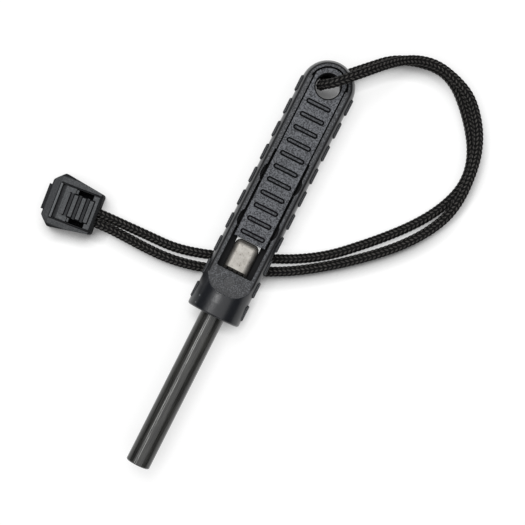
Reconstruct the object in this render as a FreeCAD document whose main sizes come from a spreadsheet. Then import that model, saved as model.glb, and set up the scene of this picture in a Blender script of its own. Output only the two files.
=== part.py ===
"""Ferro rod fire starter, lying flat on its back with its lanyard spread beside it.

X runs across the handle, Y from the rod towards the lanyard end and Z up from the ground.
A station is a distance along the handle from the rod end of the collar, and a height is
measured from the handle's axis, unless a comment says otherwise. All sizes are millimetres.
"""
import FreeCAD, Part
import math
import os
import Sketcher

Vector = FreeCAD.Vector
os.makedirs("parts", exist_ok=True)
doc = FreeCAD.newDocument("fire_starter")

sizes = {
    # Ferrocerium rod, a standard three eighths of an inch, bonded into the collar.
    "rod_radius": 4.75,
    "rod_shown": 63.5,
    "rod_socket": 15.5,
    "rod_shoulder": 0.25,
    "rod_bond": 0.04,
    "rod_tip_chamfer": 0.4,
    # Handle: a round bar with a flat land front and back and a full round collar.
    "bar_radius": 10.5,
    "collar_radius": 10.7,
    "collar_length": 8.9,
    "collar_straight": 5.0,
    "collar_flare": 3.2,
    "collar_chamfer": 0.5,
    "land_height": 5.8,
    "land_corner": 7.6,
    "land_side_margin": 0.4,
    "land_edge": 1.1,
    "hole_station": 96.7,
    "hole_radius": 4.75,
    "hole_edge": 0.5,
    "dimple_station": 14.0,
    "dimple_radius": 2.3,
    "dimple_depth": 0.08,
    # Channel that holds the striker, open towards the front.
    "channel_depth": 4.2,
    "window_end": 18.0,
    "tight_station": 66.9,
    "tight_side_gap": 0.35,
    "loose_side_gap": 0.8,
    "round_gap": 0.6,
    "round_rise": 1.2,
    "channel_corner": 0.8,
    # Finger scallops in the channel walls, each with a snap nub at its rod end.
    "scallop_station": 57.4,
    "scallop_pitch": 19.2,
    "scallop_length": 6.4,
    "scallop_width": 0.95,
    "scallop_depth": 2.5,
    "nub_length": 0.7,
    "nub_drop": 0.9,
    "nub_gap": 0.1,
    # Soft grip pads along both flanks.
    "pad_station": 6.0,
    "pad_pitch": 9.72,
    "pad_length": 6.4,
    "pad_half_height": 3.0,
    "pad_corner": 0.8,
    "pad_bevel": 0.3,
    "pad_proud": 0.6,
    "pad_sink": 1.0,
    "pad_fit": 0.05,
    # Striker grip, a ribbed strip lying in the channel.
    "strip_half_width": 6.5,
    "strip_thickness": 4.0,
    "strip_floor_gap": 0.15,
    "strip_end": 31.0,
    "head_radius": 7.05,
    "head_step_gap": 0.3,
    "strip_edge": 0.25,
    "rib_station": 33.7,
    "rib_pitch": 5.5,
    "rib_half_length": 4.55,
    "rib_half_width": 0.5,
    "rib_height": 0.5,
    "rib_groove": 0.4,
    # Steel scraper blade, held in a slot in the strip.
    "blade_half_width": 4.9,
    "blade_thickness": 1.8,
    "blade_floor_gap": 0.8,
    "blade_tang": 14.5,
    "blade_end_gap": 0.25,
    "blade_fit": 0.05,
    "blade_bevel": 1.1,
    "blade_bevel_drop": 1.2,
    "blade_rim": 1.1,
    "blade_dish": 0.4,
    "blade_dish_corner": 1.9,
    "blade_edge": 0.7,
    "tooth_gap": 0.9,
    "tooth_depth": 1.0,
    "tooth_pitch": 2.1,
    # Lanyard cord.
    "cord_radius": 2.0,
    # Cord end fitting, measured from its own middle and from the ground.
    "lock_place_x": -66.56,
    "lock_place_y": -8.96,
    "lock_turn": 5.8,
    "lock_far": 10.4,
    "lock_near": 9.9,
    "lock_far_half": 7.1,
    "lock_wide_half": 10.85,
    "lock_wide_place": 7.0,
    "lock_near_half": 8.05,
    "lock_corner": 1.2,
    "lock_top": 8.6,
    "lock_top_half": 7.0,
    "lock_bevel_rise": 4.2,
    "lock_near_round": 0.6,
    "lock_floor": 1.4,
    "lock_far_wall": 4.1,
    "lock_near_wall": 0.9,
    "lock_side_gap": 0.2,
    "lock_far_drop": 1.6,
    "lock_bar": 0.9,
    "lock_bar_rise": 1.1,
    "lock_bar_round": 0.35,
    "cord_slot_gap": 0.2,
    "cord_half_pitch": 2.1,
    "cord_pair_offset": 0.7,
    "panel_thickness": 2.5,
    "panel_recess_end": 4.6,
    "panel_recess_depth": 1.1,
    "tongue_half_width": 5.1,
    "tongue_thickness": 1.6,
    "tongue_out": 1.1,
    "tongue_lap": 1.4,
    "tongue_drop": 1.4,
    "press_rib_width": 1.5,
    "press_rib_half": 4.35,
    "press_rib_pitch": 3.2,
    "press_rib_first": 3.1,
    "press_rib_height": 0.5,
    "latch_window_length": 7.1,
    "latch_window_width": 1.9,
    "latch_window_end": 0.6,
    "latch_post": 0.8,
    "latch_post_gap": 0.2,
    "leg_length": 2.0,
    "leg_width": 1.6,
    # How far a cutting shape runs past the material that it cuts.
    "overrun": 1.0,
}
SCALLOP_PAIRS = 2
RIBS = 11
PADS = 10
TEETH_GAPS = 4
PRESS_RIBS = 4
# How closely an edge that is looked for must match its place.
MATCH_SLACK = 0.01

sheet = doc.addObject("Spreadsheet::Sheet", "dim")
for row, (alias, number) in enumerate(sizes.items(), start=1):
    sheet.set(f"A{row}", alias)
    sheet.set(f"B{row}", str(number))
    sheet.setAlias(f"B{row}", alias)
doc.recompute()


class Size:
    """A length that knows both its number and its formula in the spreadsheet."""

    def __init__(self, number, text):
        self.number = number
        self.text = text

    def joined(self, other, sign, number):
        text = other.text if isinstance(other, Size) else str(other)
        return Size(number, f"({self.text} {sign} {text})")

    def __add__(self, other):
        return self.joined(other, "+", self.number + number_of(other))

    def __sub__(self, other):
        return self.joined(other, "-", self.number - number_of(other))

    def __mul__(self, other):
        return self.joined(other, "*", self.number * number_of(other))

    def __truediv__(self, other):
        return self.joined(other, "/", self.number / number_of(other))

    def __neg__(self):
        return Size(-self.number, f"(0 - {self.text})")

    def root(self):
        return Size(math.sqrt(self.number), f"sqrt({self.text})")


def number_of(value):
    return value.number if isinstance(value, Size) else value


def dim(alias):
    return Size(float(sizes[alias]), f"dim.{alias}")


NONE = Size(0.0, "0")
overrun = dim("overrun")

# What the sketcher calls the points of an edge, and its own origin as an edge and a point.
START, END, CENTRE = range(1, 4)
ORIGIN = (-1, START)


def bind(thing, **bindings):
    """Ties properties to sheet formulas; a double underscore stands for a dot in a path."""
    for name, value in bindings.items():
        thing.setExpression(name.replace("__", "."), value.text)


# Where the handle's axis and its collar end stand in the part's frame.
axis_height = dim("collar_radius")
whole_length = dim("hole_station") + dim("bar_radius") - dim("rod_shown")
collar_end_y = -(whole_length / 2)


def new_body(name, x=NONE, y=collar_end_y, z=axis_height, turn=None):
    body = doc.addObject("PartDesign::Body", name)
    body.Label = name
    bind(body, Placement__Base__x=x, Placement__Base__y=y, Placement__Base__z=z)
    if turn is not None:
        body.Placement.Rotation = FreeCAD.Rotation(Vector(0, 0, 1), turn.number)
        bind(body, Placement__Rotation__Angle=turn)
    return body


class Outline:
    """A sketch on one of its body's own planes, drawn from points that are sheet formulas."""

    def __init__(self, body, name, plane=None, offset=NONE):
        self.edges = []
        self.rules = []
        self.formulas = []
        if body is None:
            self.sketch = doc.addObject("Sketcher::SketchObject", name)
            return
        self.sketch = body.newObject("Sketcher::SketchObject", name)
        role = f"{plane}_Plane"
        own = [f for f in body.Origin.OriginFeatures if f.Role == role][0]
        self.sketch.AttachmentSupport = [(own, "")]
        self.sketch.MapMode = "FlatFace"
        self.sketch.AttachmentOffset = FreeCAD.Placement(
            Vector(0, 0, offset.number), FreeCAD.Rotation()
        )
        bind(self.sketch, AttachmentOffset__Base__z=offset)

    def tie(self, kind, *where, value):
        self.formulas.append((len(self.rules), value.text))
        self.rules.append(Sketcher.Constraint(kind, *where, value.number))

    def pin_point(self, edge, end, x, y):
        self.tie("DistanceX", *ORIGIN, edge, end, value=x)
        self.tie("DistanceY", *ORIGIN, edge, end, value=y)

    def draw(self):
        """Puts the collected edges and rules into the sketch, all at once."""
        self.sketch.addGeometry(self.edges, False)
        self.sketch.addConstraint(self.rules)
        for index, text in self.formulas:
            self.sketch.setExpression(f"Constraints[{index}]", text)
        doc.recompute()

    def loop(self, corners):
        """Closes straight lines and arcs through corners.

        A corner is (x, y), or (x, y, centre x, centre y, radius, anticlockwise) where the
        edge that leaves it is an arc about that centre.
        """
        first = len(self.edges)
        spots = [Vector(corner[0].number, corner[1].number, 0) for corner in corners]
        ends = []
        for index, corner in enumerate(corners):
            here = spots[index]
            there = spots[(index + 1) % len(spots)]
            if len(corner) == 2:
                self.edges.append(Part.LineSegment(here, there))
                ends.append((START, END))
                continue
            centre = Vector(corner[2].number, corner[3].number, 0)
            forward = corner[5]
            begin, finish = (here, there) if forward else (there, here)
            start_angle = math.atan2(begin.y - centre.y, begin.x - centre.x)
            end_angle = math.atan2(finish.y - centre.y, finish.x - centre.x)
            if end_angle < start_angle:
                end_angle += 2 * math.pi
            circle = Part.Circle(centre, Vector(0, 0, 1), corner[4].number)
            self.edges.append(Part.ArcOfCircle(circle, start_angle, end_angle))
            ends.append((START, END) if forward else (END, START))
        count = len(corners)
        for index, corner in enumerate(corners):
            after = (index + 1) % count
            self.rules.append(
                Sketcher.Constraint(
                    "Coincident", first + index, ends[index][1], first + after, ends[after][0]
                )
            )
            self.pin_point(first + index, ends[index][0], corner[0], corner[1])
            if len(corner) > 2:
                # Both ends are pinned, so one coordinate of the centre completes the arc.
                across = abs(spots[index].x - spots[after].x)
                along = abs(spots[index].y - spots[after].y)
                if along < across:
                    self.tie("DistanceY", *ORIGIN, first + index, CENTRE, value=corner[3])
                else:
                    self.tie("DistanceX", *ORIGIN, first + index, CENTRE, value=corner[2])

    def box(self, x_low, x_high, y_low, y_high):
        self.loop([(x_low, y_low), (x_high, y_low), (x_high, y_high), (x_low, y_high)])

    def circle(self, x, y, radius):
        index = len(self.edges)
        centre = Vector(x.number, y.number, 0)
        self.edges.append(Part.Circle(centre, Vector(0, 0, 1), radius.number))
        self.tie("Radius", index, value=radius)
        self.pin_point(index, CENTRE, x, y)

    def pill(self, x, y, half_length, half_width):
        """A bar along X with round ends."""
        reach = half_length - half_width
        left = x - reach
        right = x + reach
        low = y - half_width
        high = y + half_width
        self.loop(
            [
                (left, low),
                (right, low, right, y, half_width, True),
                (right, high),
                (left, high, left, y, half_width, True),
            ]
        )

    def cut_box(self, x_low, x_high, y_low, y_high, corner):
        """A box with its corners cut off."""
        self.loop(
            [
                (x_low + corner, y_low),
                (x_high - corner, y_low),
                (x_high, y_low + corner),
                (x_high, y_high - corner),
                (x_high - corner, y_high),
                (x_low + corner, y_high),
                (x_low, y_high - corner),
                (x_low, y_low + corner),
            ]
        )


def pad(body, name, outline, length, reverse=False):
    outline.draw()
    feature = body.newObject("PartDesign::Pad", name)
    feature.Profile = outline.sketch
    feature.Reversed = reverse
    bind(feature, Length=length)
    doc.recompute()
    return feature


def pocket(body, name, outline, depth=None, reverse=False):
    """Cuts to a depth, or through everything where no depth is given."""
    outline.draw()
    before = body.Shape.Volume
    feature = body.newObject("PartDesign::Pocket", name)
    feature.Profile = outline.sketch
    feature.Reversed = reverse
    if depth is None:
        feature.Type = "ThroughAll"
    else:
        bind(feature, Length=depth)
    doc.recompute()
    if body.Shape.Volume >= before:
        raise RuntimeError(f"{name} cuts nothing")
    return feature


def pattern(body, name, features, axis, spacing, count):
    """Repeats features, or the whole body where none is given, along one of its own axes."""
    copies = body.newObject("PartDesign::LinearPattern", name)
    if features:
        copies.Originals = features
    else:
        copies.TransformMode = "Whole shape"
    own = [f for f in body.Origin.OriginFeatures if f.Role == f"{axis}_Axis"][0]
    copies.Direction = (own, [""])
    copies.Occurrences = count
    bind(copies, Length=spacing * (count - 1))
    body.Tip = copies
    doc.recompute()
    return copies


def edge_names(body, test):
    return [f"Edge{n}" for n, edge in enumerate(body.Shape.Edges, start=1) if test(edge)]


def soften(body, name, kind, size, test):
    """Rounds or bevels the edges of the body's last feature that pass a test."""
    doc.recompute()
    base = body.Tip
    names = edge_names(base, test)
    if not names:
        raise RuntimeError(f"{name} finds no edge")
    feature = body.newObject(f"PartDesign::{kind}", name)
    feature.Base = (base, names)
    if kind == "Fillet":
        bind(feature, Radius=size)
    else:
        bind(feature, Size=size)
    doc.recompute()
    return feature


def near(value, size):
    return abs(value - size.number) < MATCH_SLACK


# Heights and stations that several pieces share, counted from the handle's axis.
land = dim("land_height")
channel_floor = land - dim("channel_depth")
strip_floor = channel_floor + dim("strip_floor_gap")
strip_top = strip_floor + dim("strip_thickness")
strip_half = dim("strip_half_width")
loose_half = strip_half + dim("loose_side_gap")
tight_half = strip_half + dim("tight_side_gap")
hole_station = dim("hole_station")
blade_floor = channel_floor + dim("blade_floor_gap")
blade_top = blade_floor + dim("blade_thickness")
pads_half_length = dim("pad_length") / 2
pad_face = dim("bar_radius") + dim("pad_proud")
pad_floor = dim("bar_radius") - dim("pad_sink")
rod_seat_radius = dim("rod_radius") - dim("rod_shoulder")


def make_handle():
    """Moulded handle: turned outer form, flat lands, striker channel, hole and sockets."""
    body = new_body("handle_body")
    bar = dim("bar_radius")
    collar = dim("collar_radius")
    collar_end = dim("collar_length")
    chamfer = dim("collar_chamfer")
    profile = Outline(body, "handle_profile", "XY")
    profile.loop(
        [
            (NONE, NONE),
            (collar - chamfer, NONE),
            (collar, chamfer),
            (collar, dim("collar_straight")),
            (bar, dim("collar_straight") + dim("collar_flare")),
            (bar, hole_station, NONE, hole_station, bar, True),
            (NONE, hole_station + bar),
        ]
    )
    profile.draw()
    turned = body.newObject("PartDesign::Revolution", "turned_bar")
    turned.Profile = profile.sketch
    turned.ReferenceAxis = (profile.sketch, ["V_Axis"])
    turned.Angle = 360
    doc.recompute()

    land_half = (bar * bar - land * land).root() + dim("land_side_margin")
    corner = dim("land_corner")
    past_side = collar + overrun
    past_end = hole_station + bar + overrun
    for side, up in (("front", True), ("back", False)):
        face = Outline(body, f"{side}_land_outline", "XY", land if up else -land)
        face.loop(
            [
                (-past_side, collar_end + corner),
                (-land_half, collar_end + corner,
                 corner - land_half, collar_end + corner, corner, True),
                (corner - land_half, collar_end),
                (land_half - corner, collar_end,
                 land_half - corner, collar_end + corner, corner, True),
                (land_half, collar_end + corner),
                (past_side, collar_end + corner),
                (past_side, past_end),
                (-past_side, past_end),
            ]
        )
        pocket(body, f"{side}_land", face, reverse=up)

    soften(
        body, "land_edges", "Fillet", dim("land_edge"),
        lambda edge: (near(edge.BoundBox.ZMin, land) and near(edge.BoundBox.ZMax, land)
                      or near(edge.BoundBox.ZMin, -land) and near(edge.BoundBox.ZMax, -land))
        and edge.BoundBox.YMax > hole_station.number / 2,
    )

    round_radius = dim("head_radius") + dim("round_gap")
    rise = dim("round_rise")
    round_half = (round_radius * round_radius - rise * rise).root()
    channel = Outline(body, "channel_outline", "XY", land)
    channel_corner = dim("channel_corner")
    window_end = dim("window_end")
    channel.loop(
        [
            (channel_corner - loose_half, window_end),
            (loose_half - channel_corner, window_end,
             loose_half - channel_corner, window_end + channel_corner, channel_corner, True),
            (loose_half, window_end + channel_corner),
            (loose_half, dim("tight_station")),
            (tight_half, dim("tight_station")),
            (tight_half, hole_station + rise),
            (round_half, hole_station + rise, NONE, hole_station, round_radius, True),
            (-round_half, hole_station + rise),
            (-tight_half, hole_station + rise),
            (-tight_half, dim("tight_station")),
            (-loose_half, dim("tight_station")),
            (-loose_half, window_end + channel_corner,
             channel_corner - loose_half, window_end + channel_corner, channel_corner, True),
        ]
    )
    pocket(body, "channel", channel, dim("channel_depth"))

    half_chord = dim("scallop_length") / 2
    width = dim("scallop_width")
    scallop_radius = (half_chord * half_chord + width * width) / (width * 2)
    centre_x = loose_half + width - scallop_radius
    scallops = Outline(body, "scallop_outline", "XY", land)
    nubs = Outline(body, "nub_outline", "XY", channel_floor)
    nub_face = strip_half + dim("nub_gap")
    for step in range(SCALLOP_PAIRS):
        station = dim("scallop_station") - dim("scallop_pitch") * step
        low = station - half_chord
        high = station + half_chord
        scallops.loop(
            [
                (strip_half, low),
                (loose_half, low, centre_x, station, scallop_radius, True),
                (loose_half, high),
                (strip_half, high),
            ]
        )
        scallops.loop(
            [
                (-strip_half, high),
                (-loose_half, high, -centre_x, station, scallop_radius, True),
                (-loose_half, low),
                (-strip_half, low),
            ]
        )
        nub_low = low - dim("nub_length")
        nubs.box(nub_face, loose_half + width, nub_low, low)
        nubs.box(-(loose_half + width), -nub_face, nub_low, low)
    pocket(body, "scallops", scallops, dim("scallop_depth"))
    pad(body, "snap_nubs", nubs, dim("channel_depth") - dim("nub_drop"))

    hole = Outline(body, "hole_outline", "XY", land + overrun)
    hole.circle(NONE, hole_station, dim("hole_radius"))
    pocket(body, "lanyard_hole", hole)
    soften(
        body, "hole_back_edge", "Fillet", dim("hole_edge"),
        lambda edge: near(edge.BoundBox.ZMax, -land)
        and near(edge.BoundBox.XMax, dim("hole_radius"))
        and near(edge.BoundBox.XMin, -dim("hole_radius")),
    )

    socket = Outline(body, "socket_outline", "XZ")
    socket.circle(NONE, NONE, rod_seat_radius + dim("rod_bond"))
    pocket(body, "rod_hole", socket, dim("rod_socket") + dim("rod_bond"))

    fit = dim("pad_fit")
    for side, outward in (("right", True), ("left", False)):
        seat = pad_floor - fit
        seats = Outline(body, f"{side}_seat_outline", "YZ", seat if outward else -seat)
        seats.cut_box(
            dim("pad_station") - pads_half_length - fit,
            dim("pad_station") + pads_half_length + fit,
            -(dim("pad_half_height") + fit),
            dim("pad_half_height") + fit,
            dim("pad_corner") + fit,
        )
        seat_cut = pocket(body, f"{side}_pad_seat", seats, reverse=outward)
        pattern(body, f"{side}_pad_seats", [seat_cut], "Y", dim("pad_pitch"), PADS)

    mark = Outline(body, "dimple_outline", "XY", land)
    mark.circle(NONE, dim("dimple_station"), dim("dimple_radius"))
    pocket(body, "mould_dimple", mark, dim("dimple_depth"))
    return body


def make_pads(side, sign):
    """Ten soft pads in a row, each with a face that follows the handle and a bevelled rim."""
    body = new_body(f"grip_pads_{side}")
    half = dim("pad_half_height") * sign
    floor = pad_floor * sign
    rim = (pad_face * pad_face - half * half).root()
    section = Outline(body, f"{side}_pad_section", "XZ", pads_half_length - dim("pad_station"))
    section.loop(
        [
            (floor, -half),
            (rim * sign, -half, NONE, NONE, pad_face, True),
            (rim * sign, half),
            (floor, half),
        ]
    )
    pad(body, f"{side}_pad", section, dim("pad_length"), reverse=True)
    soften(
        body, f"{side}_pad_corners", "Chamfer", dim("pad_corner"),
        lambda edge: near(edge.BoundBox.YLength, NONE) and near(edge.BoundBox.ZLength, NONE),
    )
    soften(
        body, f"{side}_pad_rim", "Chamfer", dim("pad_bevel"),
        lambda edge: min(abs(edge.BoundBox.XMin), abs(edge.BoundBox.XMax))
        > rim.number - MATCH_SLACK,
    )
    pattern(body, f"{side}_pads", None, "Y", dim("pad_pitch"), PADS)
    return body


def make_rod():
    """Ferrocerium rod: a bevelled tip, and a turned down end that its bond holds in the collar."""
    body = new_body("fire_rod")
    section = Outline(body, "rod_section", "XZ", dim("rod_shown"))
    section.circle(NONE, NONE, dim("rod_radius"))
    pad(body, "rod_length", section, dim("rod_shown"), reverse=True)
    seat = Outline(body, "rod_seat_section", "XZ")
    seat.circle(NONE, NONE, rod_seat_radius)
    pad(body, "rod_seat", seat, dim("rod_socket"), reverse=True)
    tip = -dim("rod_shown")
    soften(
        body, "rod_tip", "Chamfer", dim("rod_tip_chamfer"),
        lambda edge: near(edge.BoundBox.YMax, tip),
    )
    return body


def make_striker_grip():
    """Ribbed strip with a round lanyard end and a slot for the blade's tang."""
    body = new_body("striker_grip")
    head = dim("head_radius")
    rise = dim("round_rise") + dim("head_step_gap")
    head_half = (head * head - rise * rise).root()
    outline = Outline(body, "strip_outline", "XY", strip_floor)
    outline.loop(
        [
            (-strip_half, dim("strip_end")),
            (strip_half, dim("strip_end")),
            (strip_half, hole_station + rise),
            (head_half, hole_station + rise, NONE, hole_station, head, True),
            (-head_half, hole_station + rise),
            (-strip_half, hole_station + rise),
        ]
    )
    pad(body, "strip", outline, dim("strip_thickness"))
    hole = Outline(body, "strip_hole_outline", "XY", strip_top + overrun)
    hole.circle(NONE, hole_station, dim("hole_radius"))
    pocket(body, "strip_hole", hole)
    soften(
        body, "strip_edges", "Fillet", dim("strip_edge"),
        lambda edge: near(edge.BoundBox.ZMin, strip_top)
        and near(edge.BoundBox.ZMax, strip_top),
    )
    groove_outline = Outline(body, "rib_groove_outline", "XY", strip_top)
    groove_outline.pill(
        NONE, dim("rib_station"),
        dim("rib_half_length") + dim("rib_groove"), dim("rib_half_width") + dim("rib_groove"),
    )
    groove = pocket(body, "rib_groove_cut", groove_outline, dim("rib_groove"))
    rib_outline = Outline(body, "rib_outline", "XY", strip_top - dim("rib_groove"))
    rib_outline.pill(NONE, dim("rib_station"), dim("rib_half_length"), dim("rib_half_width"))
    rib = pad(body, "rib", rib_outline, dim("rib_height") + dim("rib_groove"))
    pattern(body, "ribs", [groove, rib], "Y", dim("rib_pitch"), RIBS)
    fit = dim("blade_fit")
    slot = Outline(body, "tang_slot_outline", "XZ", -dim("strip_end"))
    half = dim("blade_half_width") + fit
    slot.box(-half, half, blade_floor - fit, blade_top + fit)
    pocket(body, "tang_slot", slot, dim("blade_tang") + fit)
    return body


def make_striker_blade():
    """Steel scraper: a plate with a dished face, rolled edges and a toothed, bevelled end."""
    body = new_body("striker_blade")
    half = dim("blade_half_width")
    tip = dim("window_end") + dim("blade_end_gap")
    strip_end = dim("strip_end")
    plate = Outline(body, "plate_outline", "XY", blade_floor)
    plate.box(-half, half, tip, strip_end + dim("blade_tang"))
    pad(body, "plate", plate, dim("blade_thickness"))
    dish_end = strip_end - dim("blade_rim")
    corner = dim("blade_dish_corner")
    side = half + overrun
    dish = Outline(body, "dish_outline", "XY", blade_top)
    dish.loop(
        [
            (-side, tip - overrun),
            (side, tip - overrun),
            (side, dish_end - corner),
            (half, dish_end - corner, half - corner, dish_end - corner, corner, True),
            (half - corner, dish_end),
            (corner - half, dish_end, corner - half, dish_end - corner, corner, True),
            (-half, dish_end - corner),
            (-side, dish_end - corner),
        ]
    )
    pocket(body, "dish", dish, dim("blade_dish"))
    dish_floor = blade_top - dim("blade_dish")
    soften(
        body, "rolled_edges", "Fillet", dim("blade_edge"),
        lambda edge: near(edge.BoundBox.ZMin, dish_floor)
        and near(edge.BoundBox.ZMax, dish_floor)
        and (near(edge.BoundBox.XMin, half) or near(edge.BoundBox.XMax, -half)),
    )
    bevel = Outline(body, "bevel_outline", "YZ", half + overrun)
    bevel.loop(
        [
            (tip - overrun, dish_floor - dim("blade_bevel_drop")
             - overrun * dim("blade_bevel_drop") / dim("blade_bevel")),
            (tip + dim("blade_bevel") + overrun,
             dish_floor + overrun * dim("blade_bevel_drop") / dim("blade_bevel")),
            (tip - overrun, dish_floor + overrun * dim("blade_bevel_drop") / dim("blade_bevel")),
        ]
    )
    pocket(body, "toothed_bevel", bevel)
    teeth = Outline(body, "teeth_outline", "XY", blade_top + overrun)
    gap_half = dim("tooth_gap") / 2
    for index in range(TEETH_GAPS):
        middle = dim("tooth_pitch") * (index - (TEETH_GAPS - 1) / 2)
        teeth.loop(
            [
                (middle - gap_half, tip - overrun),
                (middle + gap_half, tip - overrun),
                (middle + gap_half, tip),
                (middle, tip + dim("tooth_depth")),
                (middle - gap_half, tip),
            ]
        )
    pocket(body, "tooth_gaps", teeth)
    return body


# Cord end fitting: X runs towards the cords, Y across and Z up from the ground.
lock_frame = {
    "x": dim("lock_place_x"),
    "y": dim("lock_place_y"),
    "z": NONE,
    "turn": dim("lock_turn"),
}
cavity_far = dim("lock_far_wall") - dim("lock_far")
cavity_near = dim("lock_near") - dim("lock_near_wall")
panel_half = dim("lock_top_half") - dim("lock_side_gap") * 2
cord_level = dim("lock_floor") + dim("cord_slot_gap") + dim("cord_radius")
panel_floor = cord_level + dim("cord_radius") + dim("cord_slot_gap")
panel_top = panel_floor + dim("panel_thickness")
tongue_floor = panel_floor - dim("tongue_drop")
window_inner = panel_half - dim("latch_window_width")


def make_cord_end_shell():
    """Outer moulding: wedge-shaped case, bevelled sides, open tray and slots at both ends."""
    body = new_body("cord_end_shell", **lock_frame)
    far = -dim("lock_far")
    near_end = dim("lock_near")
    top = dim("lock_top")
    plan = Outline(body, "case_outline", "XY")
    plan.loop(
        [
            (far, -dim("lock_far_half")),
            (-dim("lock_wide_place"), -dim("lock_wide_half")),
            (near_end, -dim("lock_near_half")),
            (near_end, dim("lock_near_half")),
            (-dim("lock_wide_place"), dim("lock_wide_half")),
            (far, dim("lock_far_half")),
        ]
    )
    pad(body, "case", plan, top)
    soften(
        body, "case_corners", "Fillet", dim("lock_corner"),
        lambda edge: near(edge.BoundBox.XLength, NONE) and near(edge.BoundBox.YLength, NONE),
    )
    top_half = dim("lock_top_half")
    wide = dim("lock_wide_half")
    fall = dim("lock_bevel_rise")
    past = wide + overrun
    past_fall = fall * (wide + overrun - top_half) / (wide - top_half)
    bevels = Outline(body, "bevel_sides_outline", "YZ", near_end + overrun)
    bevels.loop([(top_half, top), (past, top - past_fall), (past, top + overrun),
                 (top_half, top + overrun)])
    bevels.loop([(-past, top - past_fall), (-top_half, top), (-top_half, top + overrun),
                 (-past, top + overrun)])
    pocket(body, "bevel_sides", bevels)
    bar_far = cavity_far - dim("lock_bar")
    round_start = near_end - dim("lock_near_round")
    round_low = top - dim("lock_near_round")
    ends = Outline(body, "end_cuts_outline", "XZ", -(wide + overrun))
    ends.loop([(far - overrun, top - dim("lock_far_drop")), (far, top - dim("lock_far_drop")),
               (bar_far, top - dim("lock_bar_rise")), (bar_far, top + overrun),
               (far - overrun, top + overrun)])
    ends.loop([(round_start, top, round_start, round_low, dim("lock_near_round"), False),
               (near_end, round_low), (near_end + overrun, round_low),
               (near_end + overrun, top + overrun), (round_start, top + overrun)])
    pocket(body, "far_slope_and_near_round", ends, reverse=True)
    tray = Outline(body, "tray_outline", "XY", top + overrun)
    tray_half = top_half - dim("lock_side_gap")
    tray.box(cavity_far, cavity_near, -tray_half, tray_half)
    pocket(body, "tray", tray, top + overrun - dim("lock_floor"))
    soften(
        body, "bar_edges", "Fillet", dim("lock_bar_round"),
        lambda edge: near(edge.BoundBox.ZMin, top)
        and near(edge.BoundBox.XLength, NONE)
        and (near(edge.BoundBox.XMin, bar_far) or near(edge.BoundBox.XMin, cavity_far)),
    )
    mouth = Outline(body, "cord_mouth_outline", "YZ", near_end + overrun)
    mouth_radius = dim("cord_radius") + dim("cord_slot_gap")
    mouth.pill(-dim("cord_pair_offset"), cord_level,
               dim("cord_half_pitch") + mouth_radius, mouth_radius)
    pocket(body, "cord_mouth", mouth, dim("lock_near_wall") + overrun * 2)
    gap = dim("lock_side_gap")
    tongue_half = dim("tongue_half_width") + gap
    slit = Outline(body, "tongue_slit_outline", "YZ", cavity_far + overrun)
    slit.box(-tongue_half, tongue_half, tongue_floor - gap,
             tongue_floor + dim("tongue_thickness") + gap)
    pocket(body, "tongue_slit", slit)
    posts = Outline(body, "latch_post_outline", "XY", dim("lock_floor"))
    post_far = dim("latch_post_gap") - dim("latch_window_end")
    post_inner = window_inner + dim("latch_post_gap")
    post_outer = panel_half - dim("latch_post_gap")
    for low, high in ((post_inner, post_outer), (-post_outer, -post_inner)):
        posts.box(post_far, post_far + dim("latch_post"), low, high)
    pad(body, "latch_posts", posts, panel_top - dim("lock_floor") - dim("latch_post_gap"))
    return body


def make_cord_end_insert():
    """Snap-in panel over the cords: ribbed thumb face, latch windows, legs and a tongue."""
    body = new_body("cord_end_insert", **lock_frame)
    gap = dim("lock_side_gap")
    far = cavity_far + gap
    near_end = cavity_near - gap
    panel = Outline(body, "panel_outline", "XY", panel_floor)
    panel.box(far, near_end, -panel_half, panel_half)
    pad(body, "panel", panel, dim("panel_thickness"))
    recess = Outline(body, "recess_outline", "XY", panel_top)
    side = panel_half + overrun
    recess.box(far - overrun, -dim("panel_recess_end"), -side, side)
    pocket(body, "panel_recess", recess, dim("panel_recess_depth"))
    tongue = Outline(body, "tongue_outline", "XY", tongue_floor)
    half = dim("tongue_half_width")
    tongue.box(-dim("lock_far") - dim("tongue_out"), far + dim("tongue_lap"), -half, half)
    pad(body, "tongue", tongue, dim("tongue_thickness"))
    legs = Outline(body, "leg_outline", "XY", dim("lock_floor"))
    leg_outer = panel_half
    leg_inner = panel_half - dim("leg_width")
    for low, high in ((leg_inner, leg_outer), (-leg_outer, -leg_inner)):
        legs.box(near_end - dim("leg_length"), near_end, low, high)
    pad(body, "legs", legs, panel_floor + dim("panel_thickness") / 2 - dim("lock_floor"))
    windows = Outline(body, "window_outline", "XY", panel_top + overrun)
    window_far = -dim("latch_window_end")
    for low, high in ((window_inner, side), (-side, -window_inner)):
        windows.box(window_far, window_far + dim("latch_window_length"), low, high)
    pocket(body, "latch_windows", windows, dim("panel_thickness") + overrun * 2)
    rib_low = -(dim("press_rib_first") + dim("press_rib_width") / 2)
    rib_half = dim("press_rib_half")
    rib_outline = Outline(body, "press_rib_outline", "XY", panel_top)
    rib_outline.box(rib_low, rib_low + dim("press_rib_width"), -rib_half, rib_half)
    rib = pad(body, "press_rib", rib_outline, dim("press_rib_height"))
    pattern(body, "press_ribs", [rib], "X", dim("press_rib_pitch"), PRESS_RIBS)
    return body


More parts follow.
